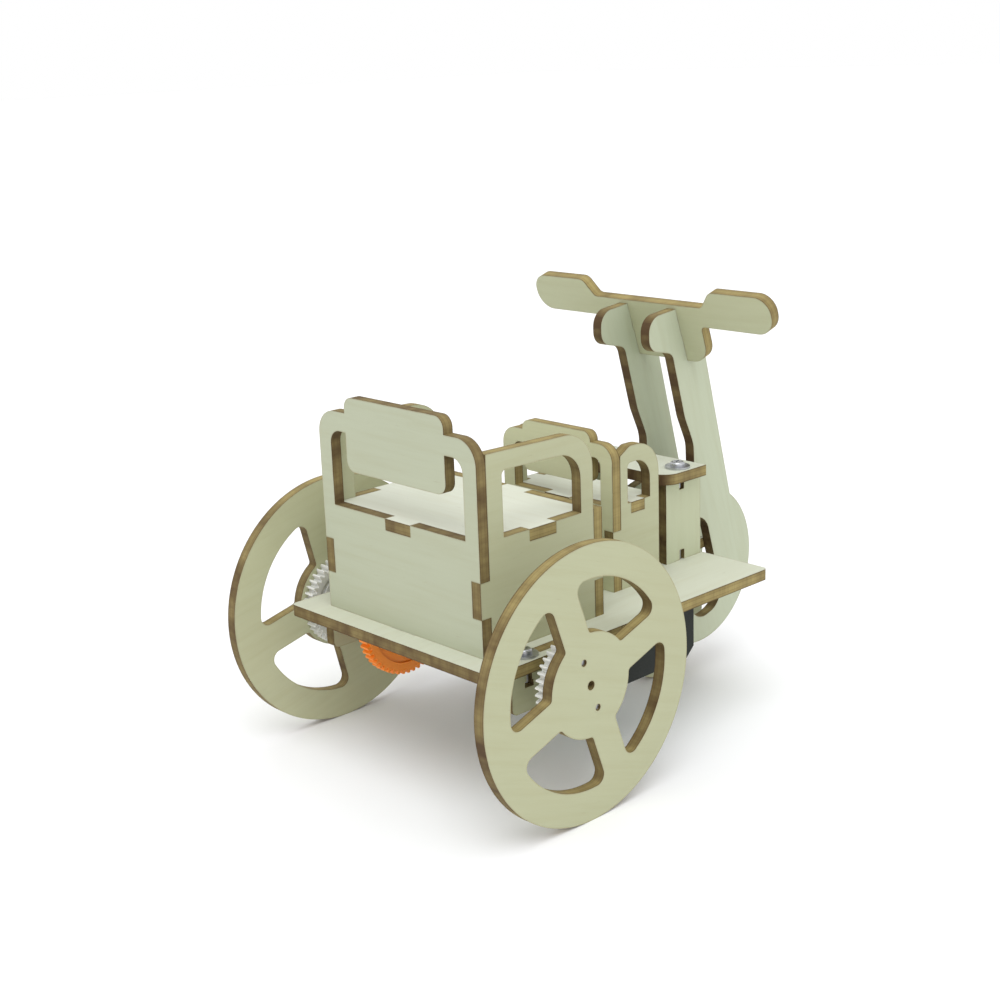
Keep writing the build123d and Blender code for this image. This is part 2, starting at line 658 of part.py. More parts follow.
with BuildPart() as passenger_seat:
    with BuildSketch(level(SEAT_Z - T)):
        x0, x1 = PB_BACK + T + GAP, PB_FRONT - T - GAP
        hy = PB_HALF - T - GAP
        with Locations(((x0 + x1) / 2, 0)):
            Rectangle(x1 - x0, 2 * hy)
        with Locations(((PB_BACK + PB_FRONT) / 2, 0)):
            Rectangle(PB_FRONT - PB_BACK, 8.34)
        with Locations(((0.81 + 8.80) / 2, 0)):
            Rectangle(7.99, 2 * PB_HALF)
    extrude(amount=T)
passenger_seat.part.label = "passenger_seat"
export_step(passenger_seat.part, "parts/passenger_seat.step")

# ---------------------------------------------------------------------------
# Driver box
# ---------------------------------------------------------------------------
with BuildPart() as driver_back:
    with BuildSketch(cross(DB_BACK)) as s:
        with BuildLine():
            Polyline(
                (-DB_HALF, DECK_TOP), (-4.0, DECK_TOP), (-4.0, DECK_BOT), (4.0, DECK_BOT), (4.0, DECK_TOP),
                (DB_HALF, DECK_TOP), (DB_HALF, 71.6), (-DB_HALF, 71.6), close=True)
        make_face()
        fillet([corner(s, DB_HALF, 71.6), corner(s, -DB_HALF, 71.6)], 4.2)
        with BuildSketch(mode=Mode.SUBTRACT) as w:
            with Locations((0, (DSEAT_Z + 68.2) / 2)):
                Rectangle(28.6, 68.2 - DSEAT_Z)
            fillet([corner(w, 14.3, 68.2), corner(w, -14.3, 68.2)], 2.0)
        with BuildSketch() as p:
            with Locations((0, (61.5 + 74.0) / 2)):
                RectangleRounded(22.4, 74.0 - 61.5, 2.2)
        with Locations((0, DSEAT_Z - T / 2)):
            Rectangle(8.0 + 2 * GAP, T, mode=Mode.SUBTRACT)
        with Locations((DB_HALF - T / 2, sum(DB_TAB_Z) / 2), (-DB_HALF + T / 2, sum(DB_TAB_Z) / 2)):
            Rectangle(T + 2 * GAP, DB_TAB_Z[1] - DB_TAB_Z[0] + 2 * GAP, mode=Mode.SUBTRACT)
    extrude(amount=T)
driver_back.part.label = "driver_back"
export_step(driver_back.part, "parts/driver_back.step")

with BuildPart() as driver_front:
    with BuildSketch(cross(DB_PANEL)):
        hy = DB_HALF - T - GAP
        with BuildLine():
            Polyline(
                (-hy, DECK_TOP), (-4.0, DECK_TOP), (-4.0, DECK_BOT), (4.0, DECK_BOT), (4.0, DECK_TOP),
                (hy, DECK_TOP), (hy, DSEAT_Z - T), (-hy, DSEAT_Z - T), close=True)
        make_face()
    extrude(amount=T)
driver_front.part.label = "driver_front"
export_step(driver_front.part, "parts/driver_front.step")


def driver_side_sketch():
    x0, x1 = DB_BACK + T + GAP, DB_FRONT
    z0, z1 = DB_TAB_Z
    with BuildSketch() as s:
        with BuildLine():
            Polyline(
                (x0, DECK_TOP), (x1, DECK_TOP), (x1, 70.6), (41.6, 70.6), (x0, 68.7),
                (x0, z1), (DB_BACK, z1), (DB_BACK, z0), (x0, z0), close=True)
        make_face()
        fillet(corner(s, x1, 70.6), 7.6)
        fillet(corner(s, 41.6, 70.6), 2.0)
        with BuildSketch(mode=Mode.SUBTRACT) as w:
            with BuildLine():
                Polyline(DS_WIN[0], DS_WIN[1], DS_WIN[2], DS_WIN[3], close=True)
            make_face()
            fillet(corner(w, *DS_WIN[2]), 5.0)
            fillet(corner(w, *DS_WIN[3]), 1.2)
        with Locations((sum(DS_TAB) / 2, DSEAT_Z - T / 2)):
            Rectangle(DS_TAB[1] - DS_TAB[0] + 2 * GAP, T, mode=Mode.SUBTRACT)
    return s.sketch


with BuildPart() as driver_side_left:
    with BuildSketch(side(DB_HALF)):
        add(driver_side_sketch())
    extrude(amount=T)
driver_side_left.part.label = "driver_side_left"
export_step(driver_side_left.part, "parts/driver_side_left.step")

with BuildPart() as driver_side_right:
    with BuildSketch(side(-DB_HALF + T)):
        add(driver_side_sketch())
    extrude(amount=T)
driver_side_right.part.label = "driver_side_right"
export_step(driver_side_right.part, "parts/driver_side_right.step")

with BuildPart() as driver_seat:
    with BuildSketch(level(DSEAT_Z - T)):
        x0, x1 = DB_BACK + T + GAP, DB_FRONT
        with Locations(((x0 + x1) / 2, 0)):
            Rectangle(x1 - x0, 2 * (DB_HALF - T - GAP))
        with Locations(((DB_BACK + x1) / 2, 0)):
            Rectangle(x1 - DB_BACK, 8.0)
        with Locations((sum(DS_TAB) / 2, 0)):
            Rectangle(DS_TAB[1] - DS_TAB[0], 2 * DB_HALF)
    extrude(amount=T)
driver_seat.part.label = "driver_seat"
export_step(driver_seat.part, "parts/driver_seat.step")

# ---------------------------------------------------------------------------
# Front column
# ---------------------------------------------------------------------------
def column_side_sketch():
    with BuildSketch() as s:
        with BuildLine():
            Polyline(
                (COL_BACK, DECK_TOP), (COL_TAB[0], DECK_TOP), (COL_TAB[0], DECK_BOT), (COL_TAB[1], DECK_BOT),
                (COL_TAB[1], DECK_TOP), (COL_FRONT, DECK_TOP), (COL_FRONT, COL_TOP), (COL_BACK, COL_TOP), close=True)
        make_face()
        # slots for the screws, top and bottom
        with Locations((65.2, COL_TOP - COL_SLOT / 2), (SCREW_COL, DECK_TOP + COL_SLOT / 2)):
            Rectangle(SHANK + 0.1, COL_SLOT, mode=Mode.SUBTRACT)
    return s.sketch


with BuildPart() as column_side_left:
    with BuildSketch(side(COL_HALF)):
        add(column_side_sketch())
    extrude(amount=T)
column_side_left.part.label = "column_side_left"
export_step(column_side_left.part, "parts/column_side_left.step")

with BuildPart() as column_side_right:
    with BuildSketch(side(-COL_HALF + T)):
        add(column_side_sketch())
    extrude(amount=T)
column_side_right.part.label = "column_side_right"
export_step(column_side_right.part, "parts/column_side_right.step")

with BuildPart() as column_top:
    with BuildSketch(level(COL_TOP)) as s:
        with Locations(((CAP_BACK + CAP_FRONT) / 2, 0)):
            Rectangle(CAP_FRONT - CAP_BACK, 2 * CAP_HALF)
        fillet([corner(s, CAP_BACK, CAP_HALF), corner(s, CAP_BACK, -CAP_HALF)], 4.5)
        with Locations((65.2, COL_HALF - T / 2), (65.2, -COL_HALF + T / 2)):
            Circle(SHANK / 2 + 0.05, mode=Mode.SUBTRACT)
    extrude(amount=T)
column_top.part.label = "column_top"
export_step(column_top.part, "parts/column_top.step")

# ---------------------------------------------------------------------------
# Fork plates with round lower ends, and the handlebar let into them
# ---------------------------------------------------------------------------
BS, BC = sin(radians(BAR_TILT)), cos(radians(BAR_TILT))
LAP = 7.0                          # height of the handlebar's own slots


def bar_point(up, fwd):
    """(x, z) of a point up the handlebar plane and fwd through its thickness."""
    return (BAR_X - BS * up + BC * fwd, BAR_Z + BC * up + BS * fwd)


def fork_sketch():
    with BuildSketch() as s:
        with BuildLine():
            Polyline(
                (58.9, 96.9), (59.0, 89.1), (67.4, 87.2), (72.0, 70.5), (75.3, 63.2), (75.6, 56.0), (75.6, 40.0),
                (84.0, 38.0), (90.6, 44.0), (77.7, 93.5), (76.3, 98.8), close=True)
        make_face()
        fillet(corner(s, 58.9, 96.9), 4.1)
        fillet(corner(s, 59.0, 89.1), 3.4)
        fillet(corner(s, 67.4, 87.2), 2.6)
        fillet(corner(s, 72.0, 70.5), 12.0)
        fillet(corner(s, 75.3, 63.2), 8.0)
        fillet(corner(s, 76.3, 98.8), 2.0)
        with Locations((DISC_X, DISC_Z)):
            Circle(DISC_R)
        # long window along the rake
        with BuildSketch(mode=Mode.SUBTRACT) as w:
            with Locations((DISC_X + 0.2, DISC_Z - 0.6)):
                RectangleRounded(12.3, 27.6, 5.4, rotation=RAKE)
        # slot that crosses the deck
        with Locations(((50 + FORK_STOP) / 2, (DECK_TOP + DECK_BOT) / 2)):
            Rectangle(FORK_STOP + 2 * GAP - 50, T + 2 * GAP, mode=Mode.SUBTRACT)
        # front axle hole
        with Locations((FW_X, FW_Z)):
            Circle(1.06, mode=Mode.SUBTRACT)
        # slot for the handlebar, open at the top
        with BuildSketch(mode=Mode.SUBTRACT):
            with BuildLine():
                Polyline(bar_point(LAP, -GAP), bar_point(LAP, T + GAP), bar_point(30, T + GAP), bar_point(30, -GAP), close=True)
            make_face()
    return s.sketch


with BuildPart() as fork_plate_left:
    with BuildSketch(side(FORK_OUT)):
        add(fork_sketch())
    extrude(amount=T)
fork_plate_left.part.label = "fork_plate_left"
export_step(fork_plate_left.part, "parts/fork_plate_left.step")

with BuildPart() as fork_plate_right:
    with BuildSketch(side(-FORK_IN)):
        add(fork_sketch())
    extrude(amount=T)
fork_plate_right.part.label = "fork_plate_right"
export_step(fork_plate_right.part, "parts/fork_plate_right.step")

bar_plane = Plane(origin=(AX + BAR_X, 0, BAR_Z), x_dir=(0, 1, 0), z_dir=(BC, 0, BS))
with BuildPart() as handlebar:
    with BuildSketch(bar_plane) as s:
        with BuildLine():
            Polyline(
                (-16.0, 0.3), (16.0, 0.3), (16.0, 10.15), (37.95, 10.15), (37.95, 19.6), (20.4, 19.6), (17.2, 15.25),
                (-17.2, 15.25), (-20.4, 19.6), (-37.95, 19.6), (-37.95, 10.15), (-16.0, 10.15), close=True)
        make_face()
        for sy in (1, -1):
            fillet(corner(s, sy * 37.95, 19.6), 4.2)
            fillet(corner(s, sy * 37.95, 10.15), 4.7)
            fillet(corner(s, sy * 16.0, 0.3), 4.7)
            fillet(corner(s, sy * 16.0, 10.15), 1.1)
            fillet(corner(s, sy * 20.4, 19.6), 2.4)
            fillet(corner(s, sy * 17.2, 15.25), 1.6)
        # slots that cross the fork plates, open at the bottom
        for sy in (1, -1):
            with Locations((sy * (FORK_IN + FORK_OUT) / 2, LAP / 2 - 1)):
                Rectangle(T + 2 * GAP, LAP + 2, mode=Mode.SUBTRACT)
    extrude(amount=T)
handlebar.part.label = "handlebar"
export_step(handlebar.part, "parts/handlebar.step")

# ---------------------------------------------------------------------------
# Front wheel, axle and spacers between the fork plates
# ---------------------------------------------------------------------------
with BuildPart() as front_wheel:
    with BuildSketch(side(T / 2)):
        with Locations((FW_X, FW_Z)):
            Circle(FW_R)
            Circle(1.01, mode=Mode.SUBTRACT)
        add(wheel_windows(11.8, 5.4, 4.2, 30, (FW_X, FW_Z), 1.0, 0.5), mode=Mode.SUBTRACT)
    extrude(amount=T)
front_wheel.part.label = "front_wheel"
export_step(front_wheel.part, "parts/front_wheel.step")

with BuildPart() as front_axle:
    with BuildSketch(side(10.4)):
        with Locations((FW_X, FW_Z)):
            Circle(AXLE_D / 2)
    extrude(amount=20.8)
    chamfer(front_axle.edges().filter_by(GeomType.CIRCLE), 0.25)
front_axle.part.label = "front_axle"
export_step(front_axle.part, "parts/front_axle.step")

with BuildPart() as front_spacers:
    for y0 in (6.2, -T / 2):
        with BuildSketch(side(y0)):
            with Locations((FW_X, FW_Z)):
                Circle(2.0)
                Circle(1.01, mode=Mode.SUBTRACT)
        extrude(amount=6.2 - T / 2)
front_spacers.part.label = "front_spacers"
export_step(front_spacers.part, "parts/front_spacers.step")

# ---------------------------------------------------------------------------
# Self-tapping screws and their washers
# ---------------------------------------------------------------------------
CY = COL_HALF - T / 2
TOP_Z = COL_TOP + T
W = 0.5                                   # washer thickness
HEAD = 1.1                                # head height
# x, y, top face the washer lies on, shank below that face
DOWN = [(SCREW_BR, BR_Y, DECK_TOP, 6.1), (SCREW_BR, -BR_Y, DECK_TOP, 6.1), (65.2, CY, TOP_Z, T + COL_SLOT - 0.1), (65.2, -CY, TOP_Z, T + COL_SLOT - 0.1)]
UP = [(SCREW_COL, CY, DECK_BOT, T + COL_SLOT - 0.1), (SCREW_COL, -CY, DECK_BOT, T + COL_SLOT - 0.1)]

with BuildPart() as tapping_screws:
    for x, y, z, deep in DOWN:
        with BuildSketch(level(z - deep)):
            with Locations((x, y)):
                Circle(SHANK / 2)
        extrude(amount=deep + W + 0.1)
        with BuildSketch(level(z + W)):
            with Locations((x, y)):
                Circle(1.8)
        extrude(amount=HEAD)
    for x, y, z, deep in UP:
        with BuildSketch(level(z - W - 0.1)):
            with Locations((x, y)):
                Circle(SHANK / 2)
        extrude(amount=deep + W + 0.1)
        with BuildSketch(level(z - W - HEAD)):
            with Locations((x, y)):
                Circle(1.8)
        extrude(amount=HEAD)
    rims = tapping_screws.edges().filter_by(GeomType.CIRCLE).filter_by(lambda e: e.radius > 1.7)
    zs = [z + W + HEAD for _, _, z, _ in DOWN] + [z - W - HEAD for _, _, z, _ in UP]
    fillet([e for e in rims if min(abs(e.center().Z - v) for v in zs) < 0.01], 0.7)
    # cross recess, drawn as two short slots
    for x, y, z, deep in DOWN:
        with BuildSketch(level(z + W + HEAD - 0.5)):
            with Locations((x, y)):
                Rectangle(1.7, 0.36, rotation=25)
                Rectangle(1.7, 0.36, rotation=115)
        extrude(amount=1.0, mode=Mode.SUBTRACT)
    for x, y, z, deep in UP:
        with BuildSketch(level(z - W - HEAD - 0.5)):
            with Locations((x, y)):
                Rectangle(1.7, 0.36, rotation=10)
                Rectangle(1.7, 0.36, rotation=100)
        extrude(amount=1.0, mode=Mode.SUBTRACT)
tapping_screws.part.label = "tapping_screws"
export_step(tapping_screws.part, "parts/tapping_screws.step")

with BuildPart() as washers:
    for x, y, z, deep in DOWN:
        with BuildSketch(level(z)):
            with Locations((x, y)):
                Circle(3.1)
                Circle(SHANK / 2 + 0.1, mode=Mode.SUBTRACT)
        extrude(amount=W)
    for x, y, z, deep in UP:
        with BuildSketch(level(z - W)):
            with Locations((x, y)):
                Circle(2.9)
                Circle(SHANK / 2 + 0.1, mode=Mode.SUBTRACT)
        extrude(amount=W)
washers.part.label = "washers"
export_step(washers.part, "parts/washers.step")
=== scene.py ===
import math

import bpy
from mathutils import Matrix, Vector


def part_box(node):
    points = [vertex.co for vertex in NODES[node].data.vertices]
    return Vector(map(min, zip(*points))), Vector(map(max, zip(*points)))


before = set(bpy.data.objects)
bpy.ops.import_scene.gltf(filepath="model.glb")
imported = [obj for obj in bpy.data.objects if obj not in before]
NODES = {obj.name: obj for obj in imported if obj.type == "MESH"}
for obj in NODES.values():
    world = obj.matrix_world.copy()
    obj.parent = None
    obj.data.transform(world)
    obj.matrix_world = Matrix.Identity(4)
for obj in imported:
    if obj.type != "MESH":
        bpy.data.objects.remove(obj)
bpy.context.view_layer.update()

# ---------------------------------------------------------------------------
# Small node-tree helper
# ---------------------------------------------------------------------------


class Tree:
    def __init__(self, name):
        self.m = bpy.data.materials.new(name)
        self.m.use_nodes = True
        self.t = self.m.node_tree
        self.t.nodes.clear()
        self.out = self.t.nodes.new("ShaderNodeOutputMaterial")
        self.bsdf = self.t.nodes.new("ShaderNodeBsdfPrincipled")
        self.t.links.new(self.bsdf.outputs["BSDF"], self.out.inputs["Surface"])

    def node(self, kind, **kw):
        n = self.t.nodes.new(kind)
        for k, v in kw.items():
            setattr(n, k, v)
        return n

    def link(self, a, b):
        self.t.links.new(a, b)

    def put(self, socket, value):
        if hasattr(value, "is_output"):
            self.link(value, socket)
        else:
            socket.default_value = value

    def math(self, op, a, b=0.0, c=0.0, clamp=False):
        n = self.node("ShaderNodeMath", operation=op, use_clamp=clamp)
        self.put(n.inputs[0], a)
        self.put(n.inputs[1], b)
        self.put(n.inputs[2], c)
        return n.outputs[0]

    def vmath(self, op, a, b=(0, 0, 0)):
        n = self.node("ShaderNodeVectorMath", operation=op)
        self.put(n.inputs[0], a)
        self.put(n.inputs[1], b)
        return n.outputs["Value"] if op in ("DOT_PRODUCT", "LENGTH", "DISTANCE") else n.outputs["Vector"]

    def noise(self, vec, scale, detail=3.0, rough=0.55, distortion=0.0):
        n = self.node("ShaderNodeTexNoise")
        self.link(vec, n.inputs["Vector"])
        n.inputs["Scale"].default_value = scale
        n.inputs["Detail"].default_value = detail
        n.inputs["Roughness"].default_value = rough
        n.inputs["Distortion"].default_value = distortion
        return n.outputs["Fac"]

    def ramp(self, fac, stops, interp="LINEAR"):
        n = self.node("ShaderNodeValToRGB")
        n.color_ramp.interpolation = interp
        els = n.color_ramp.elements
        while len(els) < len(stops):
            els.new(0.5)
        for e, (p, c) in zip(els, stops):
            e.position = p
            e.color = (c[0], c[1], c[2], 1.0) if hasattr(c, "__len__") else (c, c, c, 1.0)
        self.link(fac, n.inputs["Fac"])
        return n.outputs["Color"]

    def mix(self, fac, a, b, blend="MIX"):
        n = self.node("ShaderNodeMix", data_type="RGBA", blend_type=blend, clamp_factor=True)
        self.put(n.inputs[0], fac)
        for sock, v in ((n.inputs[6], a), (n.inputs[7], b)):
            if hasattr(v, "is_output"):
                self.link(v, sock)
            else:
                sock.default_value = (v[0], v[1], v[2], 1.0)
        return n.outputs[2]

    def maprange(self, v, a, b, c=0.0, d=1.0, smooth=False):
        n = self.node("ShaderNodeMapRange", interpolation_type="SMOOTHSTEP" if smooth else "LINEAR")
        n.clamp = True
        self.put(n.inputs["Value"], v)
        n.inputs["From Min"].default_value = a
        n.inputs["From Max"].default_value = b
        n.inputs["To Min"].default_value = c
        n.inputs["To Max"].default_value = d
        return n.outputs["Result"]

    def bump(self, height, strength, distance, normal=None):
        n = self.node("ShaderNodeBump")
        n.inputs["Strength"].default_value = strength
        n.inputs["Distance"].default_value = distance
        self.link(height, n.inputs["Height"])
        if normal is not None:
            self.link(normal, n.inputs["Normal"])
        return n.outputs["Normal"]

    def object_coords(self):
        return self.node("ShaderNodeTexCoord").outputs["Object"]

    def object_normal(self):
        g = self.node("ShaderNodeNewGeometry")
        v = self.node("ShaderNodeVectorTransform", vector_type="NORMAL", convert_from="WORLD", convert_to="OBJECT")
        self.link(g.outputs["True Normal"], v.inputs[0])
        return v.outputs[0]


def srgb(r, g, b):
    f = lambda c: (c / 255 / 12.92) if c / 255 <= 0.04045 else ((c / 255 + 0.055) / 1.055) ** 2.4
    return (f(r), f(g), f(b))


# ---------------------------------------------------------------------------
# Plywood: pale veneer faces, layered laser-browned edges, with painted light and shade in the plate tints and on the
# cut edges
# ---------------------------------------------------------------------------
THICK = 0.0027


def plywood(node, normal, grain, seed, light_and_shade_tint=(1, 1, 1), edge=1.0, extra=0.0):
    """Material of one plate: normal is the plate's own, grain lies in its plane, and the tint paints the plate's light
    and shade into its colour.
    """
    tinted = lambda colour, k=1.0: tuple(k * a * b for a, b in zip(colour, light_and_shade_tint))
    t = Tree("ply_" + node)
    n, g = Vector(normal).normalized(), Vector(grain).normalized()
    w = n.cross(g)
    P = t.object_coords()
    N = t.object_normal()
    lo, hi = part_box(node)
    verts = NODES[node].data.vertices
    span = [v.co.dot(n) for v in verts]
    mid = (min(span) + max(span)) / 2
    along = t.vmath("DOT_PRODUCT", P, tuple(g))
    across = t.vmath("DOT_PRODUCT", P, tuple(w))
    depth = t.math("SUBTRACT", t.vmath("DOT_PRODUCT", P, tuple(n)), mid)
    comb = lambda a, b, c: t_comb(t, a, b, c)
    # face of the sheet or its cut edge
    facing = t.math("ABSOLUTE", t.vmath("DOT_PRODUCT", N, tuple(n)))
    face = t.maprange(facing, 0.6, 0.75)
    # veneer: long soft streaks, fine fibres and a broad stain
    streak = t.noise(comb(t.math("MULTIPLY", along, 0.07), across, seed), 520, 4.0, 0.6)
    fibre = t.noise(comb(t.math("MULTIPLY", along, 0.035), across, seed + 3), 2600, 3.0, 0.6)
    broad = t.noise(comb(t.math("MULTIPLY", along, 0.4), across, seed + 7), 55, 2.0, 0.5)
    c = t.ramp(streak, [(0.30, tinted(FACE_DARK)), (0.52, tinted(FACE_MID)), (0.75, tinted(FACE_LIGHT))])
    c = t.mix(t.maprange(fibre, 0.55, 0.78, 0.0, 0.16), c, tinted(FACE_DARK, 0.84))
    c = t.mix(t.maprange(broad, 0.42, 0.70, 0.0, 0.28), c, tinted(FACE_WARM))
    # short dark pores and the odd hairline check
    pore = t.noise(comb(t.math("MULTIPLY", along, 0.12), across, seed + 11), 1500, 2.0, 0.5)
    c = t.mix(t.maprange(pore, 0.71, 0.79, 0.0, 0.24), c, FACE_PORE)
    # smoke stain beside the cut: the sheet's own thin corner, found from inside
    ao = t.node("ShaderNodeAmbientOcclusion", inside=True, samples=8)
    ao.inputs["Distance"].default_value = 0.00045
    halo = t.maprange(ao.outputs["AO"], 0.90, 0.55, 0.0, 0.55)
    stain = t.noise(P, 260, 2.0, 0.5)
    halo = t.math("MULTIPLY", halo, t.maprange(stain, 0.35, 0.65, 0.35, 1.0))
    c_face = t.mix(halo, c, FACE_SMOKE)
    # cut edge: plies in bands, laser striations across, charring that varies
    sway = t.noise(comb(along, across, t.math("MULTIPLY", depth, 0.2)), 110, 2.0, 0.5)
    d = t.math("DIVIDE", t.math("ADD", depth, t.math("MULTIPLY", t.math("SUBTRACT", sway, 0.5), 0.0002)), THICK / 2)
    band = t.math("ABSOLUTE", d)
    stri = t.noise(comb(along, across, t.math("MULTIPLY", depth, 0.10)), 1500, 3.0, 0.65)
    char = t.noise(comb(along, across, t.math("MULTIPLY", depth, 0.5)), 170, 3.0, 0.6)
    ply = t.ramp(band, [(0.0, EDGE_CORE), (0.30, EDGE_CORE), (0.36, EDGE_GLUE), (0.43, EDGE_OUT), (0.78, EDGE_OUT), (0.98, EDGE_BURN)])
    # painted shade: cuts that face along the vehicle are darkened as if in shade, and those that face up or sideways
    # stay lighter as if lit; the char noise adds real charring that varies
    nx = t.math("ABSOLUTE", t.vmath("DOT_PRODUCT", N, (1, 0, 0)))
    char_and_shade = t.math("ADD", t.maprange(nx, 0.35, 0.95, 0.10, 0.62), t.maprange(char, 0.35, 0.70, -0.16, 0.40))
    # edge and extra scale and raise this painted shade together with the charring, plate by plate
    char_and_shade = t.math("MULTIPLY_ADD", char_and_shade, edge, extra, clamp=True)
    c_edge = t.mix(char_and_shade, ply, EDGE_CHAR_AND_SHADE)
    c_edge = t.mix(t.maprange(stri, 0.45, 0.75, 0.0, 0.16), c_edge, tuple(v * 0.45 for v in EDGE_CHAR_AND_SHADE))
    t.link(t.mix(face, c_edge, c_face), t.bsdf.inputs["Base Color"])
    rough = t.maprange(streak, 0.3, 0.7, 0.60, 0.72)
    t.link(t.math("ADD", rough, t.math("MULTIPLY", t.math("SUBTRACT", 1.0, face), 0.12)), t.bsdf.inputs["Roughness"])
    h_face = t.math("ADD", t.math("MULTIPLY", streak, 0.5), t.math("MULTIPLY", fibre, 0.5))
    h_face = t.math("SUBTRACT", h_face, t.maprange(pore, 0.68, 0.78, 0.0, 0.6))
    h_edge = t.math("ADD", stri, t.math("MULTIPLY", t.maprange(band, 0.30, 0.40), -0.5))
    height = t.math("ADD", t.math("MULTIPLY", h_face, face), t.math("MULTIPLY", h_edge, t.math("SUBTRACT", 1.0, face)))
    t.link(t.bump(height, 0.45, 0.00006), t.bsdf.inputs["Normal"])
    t.bsdf.inputs["Specular IOR Level"].default_value = 0.32
    return t.m


def t_comb(t, a, b, c):
    n = t.node("ShaderNodeCombineXYZ")
    t.put(n.inputs[0], a)
    t.put(n.inputs[1], b)
    t.put(n.inputs[2], c)
    return n.outputs[0]


FACE_DARK = (0.478, 0.490, 0.392)
FACE_MID = (0.500, 0.520, 0.430)
FACE_LIGHT = (0.515, 0.537, 0.448)
FACE_WARM = (0.497, 0.500, 0.396)
FACE_PORE = (0.300, 0.255, 0.160)
FACE_SMOKE = (0.250, 0.190, 0.095)
EDGE_CORE = (0.340, 0.272, 0.105)
EDGE_GLUE = (0.225, 0.160, 0.060)
EDGE_OUT = (0.300, 0.235, 0.090)
EDGE_BURN = (0.084, 0.052, 0.020)
EDGE_CHAR_AND_SHADE = (0.076, 0.042, 0.015)

X, Y, Z = (1, 0, 0), (0, 1, 0), (0, 0, 1)
BAR = (math.cos(math.radians(18)), 0, math.sin(math.radians(18)))
# These per-plate tints paint light and shade into the plywood colour. The up-facing plates (base, column top, seats)
# are painted lighter as if lit, and the upright plates darker as if shaded. The far wheel and the driver back are
# painted lighter and warmer to lift their shade.
FLAT_LIT_TINT = (1.100, 1.095, 1.060)
TOP_LIT_TINT = (1.090, 1.095, 1.080)
SEAT_LIT_TINT = (1.270, 1.260, 1.285)
SIDE_SHADE_TINT = (0.832, 0.818, 0.640)
FAR_LIFTED_SHADE_TINT = (0.960, 0.940, 0.735)
BACK_SHADE_TINT = (0.820, 0.832, 0.733)
PAD_LIFTED_SHADE_TINT = (1.110, 1.080, 0.850)
FORK_SHADE_TINT = (0.900, 0.935, 0.830)
GRIP_SHADE_TINT = (0.920, 0.915, 0.735)
POST_SHADE_TINT = (0.908, 0.925, 0.765)
plates = {
    "base_plate": (Z, X, FLAT_LIT_TINT, 1.0),
    "axle_bracket_left": (Y, X, SIDE_SHADE_TINT, 1.0),
    "axle_bracket_right": (Y, X, SIDE_SHADE_TINT, 1.0),
    "rear_wheel_left": (Y, (1, 0, 0.25), FAR_LIFTED_SHADE_TINT, 1.0),
    "rear_wheel_right": (Y, (1, 0, -0.35), SIDE_SHADE_TINT, 1.0),
    "passenger_back": (X, Y, BACK_SHADE_TINT, 1.0, 0.50),
    "passenger_front": (X, Y, BACK_SHADE_TINT, 1.0),
    "passenger_side_left": (Y, X, SIDE_SHADE_TINT, 0.8),
    "passenger_side_right": (Y, X, SIDE_SHADE_TINT, 0.8),
    "passenger_seat": (Z, Y, SEAT_LIT_TINT, 0.9),
    "driver_back": (X, Y, PAD_LIFTED_SHADE_TINT, 0.75),
    "driver_front": (X, Y, BACK_SHADE_TINT, 1.0),
    "driver_side_left": (Y, X, SIDE_SHADE_TINT, 0.8),
    "driver_side_right": (Y, X, SIDE_SHADE_TINT, 0.8),
    "driver_seat": (Z, Y, SEAT_LIT_TINT, 0.9),
    "column_side_left": (Y, Z, POST_SHADE_TINT, 1.0),
    "column_side_right": (Y, Z, POST_SHADE_TINT, 1.0),
    "column_top": (Z, Y, TOP_LIT_TINT, 1.0, 0.22),
    "fork_plate_left": (Y, (-0.28, 0, 0.96), FORK_SHADE_TINT, 1.0, 0.25),
    "fork_plate_right": (Y, (-0.28, 0, 0.96), FORK_SHADE_TINT, 1.0, 0.25),
    "handlebar": (BAR, Y, GRIP_SHADE_TINT, 0.9),
    "front_wheel": (Y, (1, 0, 0.6), SIDE_SHADE_TINT, 1.0),
}
for i, (name, (n, g, *look)) in enumerate(plates.items()):
    NODES[name].data.materials.clear()
    NODES[name].data.materials.append(plywood(name, n, g, 1.7 * i + 0.3, *look))

# ---------------------------------------------------------------------------
# Plastics and metals
# ---------------------------------------------------------------------------


def plastic(name, colour, shade, rough, speckle=900, bump=0.25, subsurface=0.0, coat=0.0, spec=0.45):
    t = Tree(name)
    P = t.object_coords()
    cloud = t.noise(P, 90, 2.0, 0.5)
    grain = t.noise(P, speckle, 3.0, 0.6)
    t.link(t.mix(t.maprange(cloud, 0.35, 0.68), colour, shade), t.bsdf.inputs["Base Color"])
    t.link(t.maprange(grain, 0.3, 0.7, rough - 0.05, rough + 0.09), t.bsdf.inputs["Roughness"])
    t.link(t.bump(grain, bump, 0.00003), t.bsdf.inputs["Normal"])
    t.bsdf.inputs["Specular IOR Level"].default_value = spec
    if subsurface:
        t.bsdf.inputs["Subsurface Weight"].default_value = subsurface
        t.bsdf.inputs["Subsurface Radius"].default_value = (1.0, 0.9, 0.8)
        t.bsdf.inputs["Subsurface Scale"].default_value = 0.0006
    if coat:
        t.bsdf.inputs["Coat Weight"].default_value = coat
        t.bsdf.inputs["Coat Roughness"].default_value = 0.25
    return t.m


